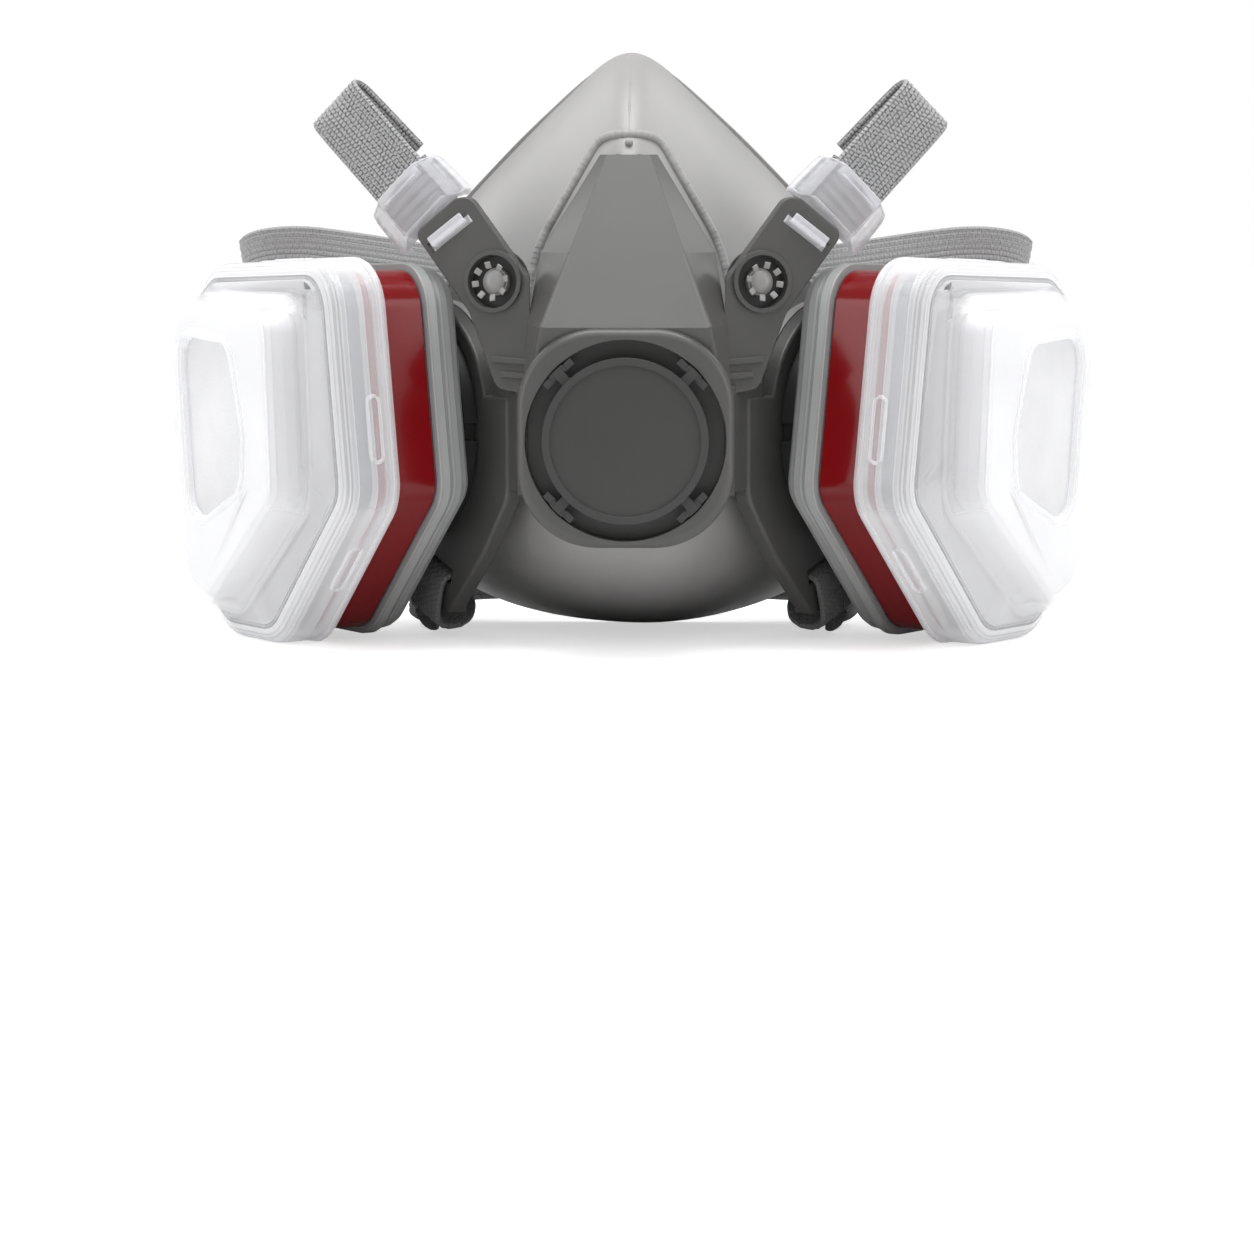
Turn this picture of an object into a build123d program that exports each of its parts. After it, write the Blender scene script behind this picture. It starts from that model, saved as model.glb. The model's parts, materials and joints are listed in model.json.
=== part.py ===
"""Half-face respirator with two twist-on cartridges, built as an assembly of separate parts.

Frame: +X to the wearer's left, +Y towards the wearer's face, +Z up, millimetres.
The mask stands on its two filter retainers and its chin, as it does on a shelf.
Everything on one side is made for the -X side and mirrored across the YZ plane.
"""

from build123d import *
import os
from math import cos, radians, sin

os.makedirs("parts", exist_ok=True)

# ---------------------------------------------------------------- driving dimensions
PORT_ANGLE = 58.0  # how far each cartridge axis turns away from straight ahead
PORT_CENTRE = (-50.4, 5.3, 46.9)  # where the cartridge's back meets its axis
ARM_HOLE = (-28.8, -24.5, 79.9)  # centre of the round hole in the upper harness arm
VALVE_Z = 47.0  # height of the exhalation valve's axis
WEB_W = 14.0  # width of the elastic webbing
WEB_T = 1.4  # its thickness
GAP = 0.3  # clearance between neighbouring parts
DEPTH_MIDDLE = 6.66  # how far the middle of the mask's depth lies behind the ports' zero

# stack of parts along the cartridge axis, measured outwards from the cartridge's back
WALL_IN, WALL_OUT = -13.5, -9.3  # facepiece wall at the port
RING_IN, RING_OUT = -9.0, -5.5  # harness yoke's ring
COLLAR_IN, COLLAR_OUT = -5.2, -2.0  # collar of the inhalation port
GASKET_IN, GASKET_OUT = -1.8, -0.2
LIP = 1.4  # thickness of the cartridge's bayonet lips
SOCKET = 6.8  # depth of the cartridge's bayonet socket
RIM_TOP = 9.4  # top of the cartridge base's rim
LABEL_TOP = 24.0
SKIRT_BOTTOM = 20.7
WALL_TOP = 31.5
SHOULDER = 33.0  # outer face of the retainer's shoulder
DOME = 42.2  # outer face of the retainer's raised dome
SHEET = 1.2  # wall of the thermoformed retainer

PORT_TUBE_R = 17.0
PORT_BORE_R = 13.6
LUG_R = 19.4
SOCKET_R = 20.0
COVER_R = 17.6
COVER_SLOT_R = 21.3

side = (-sin(radians(PORT_ANGLE)), -cos(radians(PORT_ANGLE)), 0)
toward_nose = (cos(radians(PORT_ANGLE)), -sin(radians(PORT_ANGLE)), 0)
PORT = Plane(origin=PORT_CENTRE, x_dir=toward_nose, z_dir=side)
ARM = Plane(origin=ARM_HOLE, x_dir=(0.785, -0.271, 0.62), z_dir=(-0.36, -0.93, 0.05))
FRONT = Plane(origin=(0, 0, VALVE_Z), x_dir=(1, 0, 0), z_dir=(0, -1, 0))


# ---------------------------------------------------------------- helpers
def outline(points, radii):
    """Closed flat face whose corners are rounded, one radius for each corner."""
    return make_face(FilletPolyline(*points, radius=radii, close=True))


def slab(face, low, high):
    """A flat face made a plate between two heights of its own plane."""
    return Pos(0, 0, low) * extrude(face, amount=high - low)


def disc(radius, low, high):
    return slab(Circle(radius), low, high)


def tube(outer, inner, low, high):
    return disc(outer, low, high) - disc(inner, low - 1, high + 1)


def shrunk(face, by):
    return offset(face, amount=-by, kind=Kind.INTERSECTION)


def softened(plate, radius):
    """A plate with the edge of its outer face rounded."""
    return fillet(plate.faces().sort_by(Axis.Z)[-1].edges(), radius)


def ring_of(count, shape, start=0.0):
    """Copies of a shape spread evenly about its plane's own axis."""
    return [Rot(0, 0, start + 360.0 * i / count) * shape for i in range(count)]


# ---------------------------------------------------------------- facepiece
# Half sections of the cup in planes across Y: height of the bottom and top, half width.
CUP_SECTIONS = (
    (-36.0, 27.0, 67.5, 17.0),
    (-14.0, 13.0, 107.0, 25.0),
    (12.0, 5.0, 128.5, 44.5),
    (48.0, -2.2, 126.0, 59.0),
)
# How wide the cup is at shares of its height, from the chin to the nose.
CUP_SHAPE = ((0.03, 0.45), (0.12, 0.8), (0.36, 1.0), (0.6, 0.9), (0.78, 0.6), (0.93, 0.27))
CUP_WALL = 3.0
VALVE_HOLE_R = 15.6
BOSS_R = 28.0


def cup_section(y, low, high, half, inset):
    low, high, half = low + inset, high - inset, half - inset
    tall = high - low
    right = [(half * w, low + tall * h) for h, w in CUP_SHAPE]
    left = [(-x, z) for x, z in reversed(right)]
    points = [(0, low), *right, (0, high), *left]
    plane = Plane(origin=(0, y, 0), x_dir=(1, 0, 0), z_dir=(0, -1, 0))
    return plane * make_face(Spline(*points, periodic=True))


def cup(inset):
    faces = [cup_section(y, low, high, half, inset) for y, low, high, half in CUP_SECTIONS]
    return loft(faces)


def rim_cutter():
    """Everything behind the face seal's edge: it recedes at the nose and the chin."""
    edge = Spline((14, 140), (16, 122), (27, 98), (41, 62), (43, 38), (38, 12), (35, -10))
    back = Polyline(edge @ 1, (90, -10), (90, 140), edge @ 0)
    profile = Plane.YZ * make_face([edge, back])
    return extrude(profile, amount=80, both=True)


def make_facepiece():
    inside = cup(CUP_WALL)
    boss = PORT * disc(BOSS_R, -26, WALL_OUT)
    body = cup(0) + boss + mirror(boss, about=Plane.YZ) - inside
    pocket = PORT * disc(24, -60, WALL_IN)
    hole = PORT * disc(PORT_TUBE_R + GAP, -30, 10)
    outside = PORT * Pos(0, 0, WALL_OUT + 50) * Box(300, 300, 100)
    for cutter in (pocket, hole, outside):
        body -= cutter
        body -= mirror(cutter, about=Plane.YZ)
    body -= FRONT * disc(VALVE_HOLE_R, 0, 60)
    body -= FRONT * disc(18.8, 0, 32.9)
    body -= FRONT * slab(Rectangle(200, 300), 36.0, 90)
    body -= fairing_solid(0.8, -60) - fairing_solid(-2.6)
    body -= rim_cutter()
    return body.solids().sort_by(SortBy.VOLUME)[-1]


# ---------------------------------------------------------------- harness yoke
HOUSING_W, HOUSING_H, HOUSING_ROUND = 46.0, 46.5, 17.0
HOUSING_BACK, HOUSING_FLOOR, HOUSING_FRONT = 36.3, 38.3, 44.6
# fairing over the nose, from its foot to its top: height, ridge x and y, edge x and y
FAIRING = (
    (57.0, 21.0, -39.0, 22.6, -31.0),
    (70.7, 18.2, -43.0, 21.4, -28.5),
    (86.2, 12.4, -32.3, 18.8, -22.0),
    (107.0, 4.7, -18.0, 6.2, -13.5),
)
BRIDGE = (
    (-29.4, -16.9),
    (-25.0, -24.0),
    (-23.0, -28.5),
    (-23.0, -39.0),
    (-20.9, -39.0),
    (-20.9, -28.0),
    (-22.9, -22.6),
    (-27.1, -15.5),
)
UPPER_ARM = (
    (-9.2, 19.6),
    (3.0, 20.0),
    (6.2, 18.2),
    (7.0, -5.0),
    (0.5, -16.0),
    (-7.0, -25.0),
    (-13.0, -19.0),
    (-8.6, -2.0),
)
ARM_T = 2.0
ARM_HOLE_R = 5.7
ARM_SLOT = (-2.2, 14.6, 11.6, 2.4)  # centre and size in the arm's plane
LOWER_ARM = (
    (24.0, 8.0),
    (37.0, 8.0),
    (37.0, -14.0),
    (26.4, -26.5),
    (10.0, -41.4),
    (-1.0, -39.6),
    (-7.0, -24.0),
    (4.0, -18.0),
)
NECK_SLOT = (4.8, -30.6, 15.2, 3.4)  # centre and size in the port's plane
NECK_TILT = -18.0


def fairing_solid(grow, front=None):
    """The fairing's faceted wedge, grown sideways and forwards; front makes it reach out to y."""
    rows = []
    for z, ridge_x, ridge_y, edge_x, edge_y in FAIRING:
        ridge_x, edge_x = ridge_x + grow, edge_x + grow
        ridge_y = ridge_y - grow
        back_y = edge_y + (0.6 if grow > 0 else 0.0) + 0.1 * (grow < 0)
        corners = [(edge_x, back_y), (ridge_x, ridge_y), (-ridge_x, ridge_y), (-edge_x, back_y)]
        if front is not None:
            corners = [(edge_x, back_y), (edge_x, front), (-edge_x, front), (-edge_x, back_y)]
        plane = Plane(origin=(0, 0, z), z_dir=(0, 0, 1))
        rows.append(plane * make_face(Polyline(*corners, close=True)))
    return loft(rows, ruled=True)


def housing_shape(inset):
    return RectangleRounded(HOUSING_W - 2 * inset, HOUSING_H - 2 * inset, HOUSING_ROUND - inset)


def make_yoke():
    housing = softened(slab(housing_shape(0), HOUSING_BACK, HOUSING_FRONT), 2.0)
    housing = FRONT * Pos(0, 0.4, 0) * housing
    fairing = fairing_solid(0)
    ridges = fairing.edges().filter_by(lambda e: e.center().Y < -20 and abs(e.center().X) > 6)
    ridges = [e for e in ridges if abs(e.tangent_at(0.5).Z) > 0.5 and e.center().Y < -27]
    fairing = fillet(ridges, 1.0) - fairing_solid(-2.0)
    below = Pos(0, -40, 57) * Box(80, 80, 60, align=(Align.CENTER, Align.CENTER, Align.MAX))
    fairing -= below
    core = housing + fairing
    core -= FRONT * disc(COVER_SLOT_R, HOUSING_FLOOR, 80)
    core -= FRONT * Pos(0, 0, HOUSING_FRONT) * Cone(COVER_SLOT_R - 0.6, COVER_SLOT_R + 0.6, 1.6)
    core -= FRONT * disc(VALVE_HOLE_R, 0, 80)
    ring = disc(28.0, RING_IN, RING_OUT)
    ring += slab(outline(LOWER_ARM, (1, 1, 8, 12, 3, 3, 6, 4)), RING_IN, RING_OUT)
    left = PORT * softened(ring, 0.8)
    bridge = make_face(Polyline(*BRIDGE, close=True))
    left += Pos(0, 0, 35) * extrude(bridge, amount=23)
    plate = softened(slab(outline(UPPER_ARM, (2, 1.2, 3, 5, 8, 1.5, 3, 6)), -ARM_T, 0), 0.5)
    left += ARM * (plate + tube(6.7, 5.0, -1.0, 0.7))
    for rib in (-19.5, -23.5):
        left += ARM * Pos(-6.6, rib + 3.4, 0.3) * Rot(0, 0, -40) * Box(8.5, 1.2, 1.0)
    left -= ARM * disc(ARM_HOLE_R, -10, 10)
    left -= ARM * Pos(ARM_SLOT[0], ARM_SLOT[1], 0) * Box(ARM_SLOT[2], ARM_SLOT[3], 20)
    left -= PORT * disc(PORT_TUBE_R + GAP, -40, 20)
    neck = Pos(NECK_SLOT[0], NECK_SLOT[1], RING_IN) * Rot(0, 0, NECK_TILT)
    left -= PORT * neck * Box(NECK_SLOT[2], NECK_SLOT[3], 30)
    left -= Box(41.8, 200, 400)
    left -= PORT * Pos(0, 0, WALL_OUT - 24.9) * Cylinder(BOSS_R + 1, 50)
    return core + left + mirror(left, about=Plane.YZ)


# ---------------------------------------------------------------- exhalation valve
def make_exhalation_seat():
    seat = tube(15.3, 12.9, 31.2, 40.0) + tube(18.2, 12.9, 31.0, 32.7)
    hub = disc(3.4, 38.6, 40.0)
    for spoke in ring_of(3, Pos(7, 0, 39.3) * Box(13.5, 1.6, 1.4)):
        hub += spoke
    return FRONT * (seat + hub - disc(2.1, 30, 50))


def make_exhalation_flap():
    flap = disc(14.4, 40.3, 41.0) + disc(1.8, 36.2, 40.6) + disc(2.7, 35.4, 36.4)
    return FRONT * (flap + disc(3.0, 40.3, 41.4))


def make_exhalation_cover():
    cover = disc(COVER_R, 44.6, 46.3) + tube(COVER_R, 16.0, 46.0, 46.9)
    for spoke in ring_of(4, Pos(18.8, 0, 44.6) * Box(5.0, 2.2, 1.6), 45):
        cover += spoke
    for leg in ring_of(4, Pos(20.2, 0, 41.9) * Box(1.6, 3.6, 6.6), 45):
        cover += leg
    for cap in ring_of(4, Pos(19.9, 0, 44.4) * Box(1.6, 8.0, 1.0), 45):
        cover += cap
    return FRONT * (cover & disc(21.0, 30, 60))


# ---------------------------------------------------------------- inhalation ports
def sector(inner, outer, low, high, degrees):
    """Part of a ring, centred on +X."""
    half = degrees / 2
    rim = [(outer * 1.6 * cos(radians(a)), outer * 1.6 * sin(radians(a))) for a in (half, 0, -half)]
    wedge = make_face(Polyline((0, 0), *rim, close=True))
    return tube(outer, inner, low, high) & slab(wedge, low - 1, high + 1)


def make_port():
    port = tube(PORT_TUBE_R, PORT_BORE_R, -15.5, 5.6) + tube(22.5, PORT_BORE_R, -15.5, -13.7)
    for lug in ring_of(3, sector(16.0, LUG_R, LIP + 0.3, LIP + 2.6, 46), 90):
        port += lug
    return PORT * port


def make_lock_ring():
    ring = tube(24.5, PORT_TUBE_R + 0.1, COLLAR_IN, COLLAR_OUT)
    for notch in ring_of(6, Pos(24.6, 0, -3.6) * Box(3.0, 4.0, 6)):
        ring -= notch
    return PORT * ring


def make_gasket():
    return PORT * tube(23.4, PORT_TUBE_R + 0.2, GASKET_IN - 0.1, GASKET_OUT - 0.2)


def make_inhalation_seat():
    seat = tube(13.5, 11.6, -12.0, -8.5) + disc(3.2, -12.0, -10.0)
    for spoke in ring_of(6, Pos(7.2, 0, -11.0) * Box(10.0, 1.2, 2.0)):
        seat += spoke
    return PORT * (seat + disc(1.2, -16.6, -11.0) + disc(2.0, -17.2, -16.2))


def make_inhalation_flap():
    return PORT * (tube(12.6, 1.3, -12.9, -12.3) + tube(2.6, 1.3, -13.6, -12.7))


# ---------------------------------------------------------------- cartridges
CARTRIDGE = ((27.8, 38.2), (36.4, -13.5), (1.5, -46.9), (-28.5, -46.9), (-41.5, -8.0), (-37.0, 35.5))
CARTRIDGE_ROUND = (12, 10, 14, 13, 60, 13)
DOME_TOP = ((15.5, 28.2), (18.6, -14.0), (-16.0, -40.5), (-29.5, -36.0), (-38.0, 4.0), (-36.0, 27.5))
DOME_ROUND = (7, 7, 9, 7, 60, 9)
WINDOW = ((-2.5, 18.8), (4.2, 0.0), (3.6, -11.5), (-20.5, -21.5), (-26.0, 20.0))
WINDOW_ROUND = (6, 8, 6, 6, 5)


def cartridge_outline(inset):
    return offset(outline(CARTRIDGE, CARTRIDGE_ROUND), amount=-inset) if inset else outline(
        CARTRIDGE, CARTRIDGE_ROUND
    )


def dome_outline(inset):
    face = outline(DOME_TOP, DOME_ROUND)
    return offset(face, amount=-inset) if inset else face


def cartridge_slab(inset, low, high):
    return slab(cartridge_outline(inset), low, high)


def make_cartridge_base():
    tray = cartridge_slab(3.2, 0, 2.0) + cartridge_slab(1.2, 1.6, RIM_TOP)
    tray -= cartridge_slab(3.0, 2.2 + SOCKET, 20)
    socket = disc(SOCKET_R, LIP, SOCKET)
    mouth = disc(PORT_TUBE_R + 0.5, -1, 3)
    for slot in ring_of(3, sector(10.0, SOCKET_R, -1, LIP + 1, 62), 30):
        mouth += slot
    grid = disc(3.0, 0, 20)
    for hole in ring_of(6, Pos(9.2, 0, 8) * Cylinder(3.4, 12)):
        grid += hole
    return PORT * (tray - socket - mouth - grid)


def make_cartridge_shell():
    shell = cartridge_slab(2.9, RIM_TOP + 0.1, WALL_TOP) - cartridge_slab(3.9, 0, 60)
    return PORT * shell


def make_label_band():
    return PORT * (cartridge_slab(2.5, RIM_TOP + 0.5, LABEL_TOP) - cartridge_slab(2.85, 0, 60))


def make_cartridge_lid():
    lid = cartridge_slab(4.1, 29.6, 31.0)
    holes = []
    for row in range(-6, 6):
        for column in range(-6, 6):
            u, v = 6.0 * column + 3.0 * (row % 2), 6.0 * row + 1.0
            if -27 < u < 21 and -33 < v < 30 and v > 0.75 * u - 30:
                holes.append(Pos(u, v, 30) * Cylinder(1.7, 6))
    return PORT * (lid - holes)


def make_carbon_bed():
    return PORT * cartridge_slab(4.3, RIM_TOP + 0.2, 28.0)


def make_prefilter_pad():
    return PORT * slab(dome_outline(1.6), 31.9, 40.6)


def make_retainer():
    outer = cartridge_slab(0, SKIRT_BOTTOM, SHOULDER)
    outer = fillet(outer.faces().sort_by(Axis.Z)[-1].edges(), 3.6)
    inner = cartridge_slab(SHEET, SKIRT_BOTTOM - 1, SHOULDER - SHEET)
    inner = fillet(inner.faces().sort_by(Axis.Z)[-1].edges(), 2.4)
    dome = loft([Pos(0, 0, 31.0) * dome_outline(-1.6).face(), Pos(0, 0, DOME) * dome_outline(0)])
    dome = fillet(dome.faces().sort_by(Axis.Z)[-1].edges(), 2.2)
    hollow = loft(
        [Pos(0, 0, 30.0) * dome_outline(-0.5).face(), Pos(0, 0, DOME - SHEET) * dome_outline(1.2).face()]
    )
    window = outline(WINDOW, WINDOW_ROUND)
    bezel = slab(offset(window, amount=2.2), DOME - 0.8, DOME + 0.7)
    shell = outer + dome - inner - hollow + bezel - slab(window, 34, 60)
    for u, v, turn in ((33.7, 2.0, 98.7), (20.6, -29.6, 43.7), (-4.0, 38.1, 175.0)):
        shell += Pos(u, v, 24.2) * Rot(0, 0, turn) * Box(14.0, 1.6, 2.6)
    shell -= inner
    return PORT * shell


# ---------------------------------------------------------------- straps and buckles
def ribbon(stations, width):
    """Webbing through stations given as (centre, direction of its width)."""
    faces = []
    for i, (centre, across) in enumerate(stations):
        before = Vector(*stations[max(i - 1, 0)][0])
        after = Vector(*stations[min(i + 1, len(stations) - 1)][0])
        along = (after - before).normalized()
        if abs(Vector(*centre).X) < 0.01:
            along = Vector(1, 0, 0)
        across = Vector(*across)
        across = (across - along * across.dot(along)).normalized()
        faces.append(Plane(origin=centre, x_dir=across, z_dir=along) * Rectangle(width, WEB_T))
    strap = loft(faces, ruled=True)
    return strap if strap.volume > 0 else loft(faces[::-1], ruled=True)


def make_arm_stud():
    stud = disc(7.2, -ARM_T - 1.2, -ARM_T - 0.1) + disc(2.2, -ARM_T - 1, 0.4)
    for petal in ring_of(6, Pos(3.3, 0, -0.9) * Box(3.6, 1.8, 2.4)):
        stud += petal
    return ARM * stud


# The buckle leans a little away from the arm's own direction.
BUCKLE = ARM * Pos(-4.6, 14.6, 0) * Rot(0, 0, 8)


def make_buckle():
    plate = BUCKLE * Pos(0, 12.4, 0) * slab(RectangleRounded(17.6, 7.9, 1.8), -4.4, -2.6)
    plate += BUCKLE * Pos(0, 7.6, 0) * slab(RectangleRounded(12.0, 8.0, 1.0), -4.4, -2.6)
    plate += BUCKLE * Pos(0, 11.6, -2.2) * Box(12.2, 7.6, 1.6)
    for x in (-8.8, 8.8):
        plate += BUCKLE * Pos(x, 12.8, -5.9) * Box(1.6, 7.6, 5.0)
    plate += BUCKLE * Pos(0, 10.8, -7.4) * Box(17.8, 3.2, 1.6)
    plate += ARM * Pos(-2.2, 16.7, -3.5) * Box(9.6, 5.6, 1.8)
    plate += ARM * Pos(-2.2, 14.65, -1.5) * Box(9.6, 1.3, 5.8)
    plate += ARM * Pos(-2.2, 15.3, 1.0) * Box(9.6, 2.6, 0.8)
    return plate


# The upper strap seen from its edge: along the buckle, and outwards from the arm.
UPPER_STRAP = (
    (19.4, -9.5),
    (10.7, -9.5),
    (8.5, -9.1),
    (7.4, -8.1),
    (7.1, -7.3),
    (7.5, -6.4),
    (8.7, -5.6),
    (10.7, -5.4),
    (39.0, -5.4),
    (41.4, -6.3),
    (42.3, -8.6),
    (41.4, -11.0),
    (39.0, -12.0),
    (23.0, -14.0),
)


def make_upper_strap():
    edge = Plane(BUCKLE)
    return ribbon([(edge.from_local_coords((0, y, w)), edge.x_dir) for y, w in UPPER_STRAP], 14.0)


# Half of the strap folded behind the mask, up to the middle: place and backward lean.
REAR_STRAP = (
    ((-38.5, -4.0, 80.0), 1.2),
    ((-44.0, 6.0, 80.5), 1.0),
    ((-53.0, 19.0, 81.3), 0.7),
    ((-65.5, 34.0, 82.6), 0.3),
    ((-77.0, 42.5, 83.8), 0.0),
    ((-86.5, 47.0, 82.8), 0.0),
    ((-91.0, 52.0, 80.0), 0.0),
    ((-87.5, 57.0, 75.0), 0.0),
    ((-74.0, 59.5, 69.0), 0.0),
    ((-50.0, 57.5, 64.0), 0.0),
    ((-25.0, 54.5, 60.5), 0.0),
    ((0.0, 53.5, 59.0), 0.0),
)


def make_rear_strap():
    half = ribbon([(place, (0, lean, 1)) for place, lean in REAR_STRAP], WEB_W)
    return half + mirror(half, about=Plane.YZ)


CLASP = (12.0, 55.5, 11.0)  # the left eye's bar stands at -X, the hook's at +X
# The neck strap seen from its edge at the arm: up the arm, and outwards from it.
NECK_FOLD = (
    (-9.0, -10.6),
    (-2.8, -10.6),
    (-0.9, -10.0),
    (-0.2, -8.6),
    (-0.2, -6.0),
    (-0.9, -4.6),
    (-2.8, -4.1),
    (-10.0, -4.1),
    (-11.8, -5.0),
    (-12.6, -7.6),
    (-12.4, -9.6),
)
# Then round behind the chin to the clasp: place, and how far the webbing stands on edge.
NECK_RUN = (
    ((-41.3, 14.4, 6.0), 0.2),
    ((-44.4, 20.4, 7.4), 0.6),
    ((-49.6, 26.5, 8.8), 0.9),
    ((-51.0, 35.5, 9.6), 1.0),
    ((-47.0, 45.0, 10.2), 1.0),
    ((-37.0, 50.5, 10.6), 1.0),
    ((-24.0, 52.9, 10.8), 1.0),
    ((-15.0, 53.4, 11.0), 1.0),
    ((-12.0, 53.4, 11.0), 1.0),
    ((-10.5, 54.0, 11.0), 1.0),
    ((-9.9, 55.5, 11.0), 1.0),
    ((-10.5, 57.0, 11.0), 1.0),
    ((-12.0, 57.6, 11.0), 1.0),
    ((-15.0, 57.4, 11.0), 1.0),
    ((-22.0, 56.9, 11.0), 1.0),
)


def make_neck_strap():
    slot = Plane(PORT.location * Pos(NECK_SLOT[0], NECK_SLOT[1], 0) * Rot(0, 0, NECK_TILT))
    stations = [(slot.from_local_coords((0, b, w)), slot.x_dir) for b, w in NECK_FOLD]
    for place, stood in NECK_RUN:
        stations.append((place, slot.x_dir * (1 - stood) + Vector(0, 0, 1) * stood))
    return ribbon(stations, 13.4)


def clasp_half():
    """Strap bar and the plate it belongs to, shared by the eye and the hook."""
    x, y, z = CLASP
    half = Pos(-x, y, z) * Cylinder(1.2, 18)
    for end in (-8.2, 8.2):
        half += Pos(-x + 2.4, y, z + end) * Box(4.8, 2.4, 1.6)
    return half


def make_clasp_eye():
    x, y, z = CLASP
    plate = Pos(-4.0, y, z) * Box(8.0, 2.4, 18)
    return clasp_half() + plate - Pos(-4.35, y, z) * Box(2.9, 6, 12)


def make_clasp_hook():
    x, y, z = CLASP
    hook = mirror(clasp_half(), about=Plane.YZ) + Pos(4.75, y, z) * Box(7.5, 2.4, 18)
    hook += Pos(2.2, y + 1.5, z) * Box(2.4, 3.2, 10.5)
    hook += Pos(-0.9, y + 2.3, z) * Box(8.8, 1.5, 10.5)
    return hook + Pos(-4.5, y + 0.9, z) * Box(1.6, 3.4, 10.5)


# ---------------------------------------------------------------- write every part
ONE_OF_EACH = {
    "facepiece": make_facepiece,
    "harness_yoke": make_yoke,
    "exhalation_valve_seat": make_exhalation_seat,
    "exhalation_flap": make_exhalation_flap,
    "exhalation_cover": make_exhalation_cover,
    "rear_strap": make_rear_strap,
    "clasp_eye": make_clasp_eye,
    "clasp_hook": make_clasp_hook,
}
ONE_EACH_SIDE = {
    "inhalation_port": make_port,
    "port_lock_ring": make_lock_ring,
    "port_gasket": make_gasket,
    "inhalation_valve_seat": make_inhalation_seat,
    "inhalation_flap": make_inhalation_flap,
    "cartridge_base": make_cartridge_base,
    "cartridge_shell": make_cartridge_shell,
    "label_band": make_label_band,
    "cartridge_lid": make_cartridge_lid,
    "carbon_bed": make_carbon_bed,
    "prefilter_pad": make_prefilter_pad,
    "filter_retainer": make_retainer,
    "arm_stud": make_arm_stud,
    "strap_buckle": make_buckle,
    "upper_strap": make_upper_strap,
    "neck_strap": make_neck_strap,
}

for name, make in ONE_OF_EACH.items():
    export_step(Pos(0, -DEPTH_MIDDLE, 0) * make(), f"parts/{name}.step")
for name, make in ONE_EACH_SIDE.items():
    part = Pos(0, -DEPTH_MIDDLE, 0) * make()
    export_step(part, f"parts/{name}_right.step")
    export_step(mirror(part, about=Plane.YZ), f"parts/{name}_left.step")
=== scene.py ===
import bmesh
import bpy
import json
from math import cos, pi, radians, sin
from mathutils import Matrix, Vector
from mathutils.bvhtree import BVHTree


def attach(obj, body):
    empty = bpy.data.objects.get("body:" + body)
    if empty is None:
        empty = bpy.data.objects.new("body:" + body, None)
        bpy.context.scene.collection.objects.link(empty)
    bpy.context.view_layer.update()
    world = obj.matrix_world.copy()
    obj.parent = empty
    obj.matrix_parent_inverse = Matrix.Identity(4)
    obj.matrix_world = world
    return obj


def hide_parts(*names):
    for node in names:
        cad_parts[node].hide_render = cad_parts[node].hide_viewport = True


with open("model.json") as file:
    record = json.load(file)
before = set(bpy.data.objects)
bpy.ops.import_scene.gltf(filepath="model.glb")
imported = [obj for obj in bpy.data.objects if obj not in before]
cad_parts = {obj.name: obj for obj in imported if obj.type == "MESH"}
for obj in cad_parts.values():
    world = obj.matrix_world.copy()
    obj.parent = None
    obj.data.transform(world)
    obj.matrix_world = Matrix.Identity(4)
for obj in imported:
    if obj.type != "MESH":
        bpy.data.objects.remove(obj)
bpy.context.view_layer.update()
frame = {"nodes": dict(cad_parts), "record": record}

nodes = frame["nodes"]

# ---------------------------------------------------------------- camera, floor and light
# A plain pale table with a large soft light overhead and one from each side,
# seen from a little above the mask's middle with a long lens.
camera_target = Vector((0.0, -0.0367, 0.006))
camera_distance = 1.0
camera_elevation, camera_azimuth = radians(6.0), radians(1.3)
half_view = 0.1348  # half the picture's width at the target, for each metre away
away = Vector((
    sin(camera_azimuth) * cos(camera_elevation),
    -cos(camera_azimuth) * cos(camera_elevation),
    sin(camera_elevation),
))
lens = bpy.data.cameras.new("camera")
lens.sensor_width = 36.0
lens.lens = 18.0 / half_view
lens.clip_start, lens.clip_end = 0.05, 20.0
camera = bpy.data.objects.new("camera", lens)
bpy.context.scene.collection.objects.link(camera)
camera.location = camera_target + away * camera_distance
camera.rotation_euler = away.to_track_quat("Z", "Y").to_euler()
bpy.context.scene.camera = camera


def soft_light(name, place, aim, size, power):
    """A square soft box at a place, turned to face a point."""
    lamp = bpy.data.lights.new(name, "AREA")
    lamp.shape = "RECTANGLE"
    lamp.size, lamp.size_y = size
    lamp.energy = power
    holder = bpy.data.objects.new(name, lamp)
    bpy.context.scene.collection.objects.link(holder)
    holder.location = place
    direction = Vector(place) - Vector(aim)
    holder.rotation_euler = direction.to_track_quat("Z", "Y").to_euler()


soft_light("overhead_box", (0.0, -0.1, 0.8), (0, 0, 0.06), (0.7, 0.35), 3.6)
soft_light("left_box", (-0.8, -0.35, 0.3), (0, 0, 0.06), (0.25, 0.7), 1.5)
soft_light("right_box", (0.8, -0.35, 0.3), (0, 0, 0.06), (0.25, 0.7), 1.5)
soft_light("left_edge_box", (-0.55, 0.4, 0.5), (0, 0, 0.08), (0.3, 0.5), 1.1)
soft_light("right_edge_box", (0.55, 0.4, 0.5), (0, 0, 0.08), (0.3, 0.5), 1.1)
even_lamp = bpy.data.lights.new("even_light", "SUN")
even_lamp.energy, even_lamp.angle = 1.15, radians(70.0)
even_light = bpy.data.objects.new("even_light", even_lamp)
bpy.context.scene.collection.objects.link(even_light)
even_light.rotation_euler = (radians(22.0), 0.0, 0.0)

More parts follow.
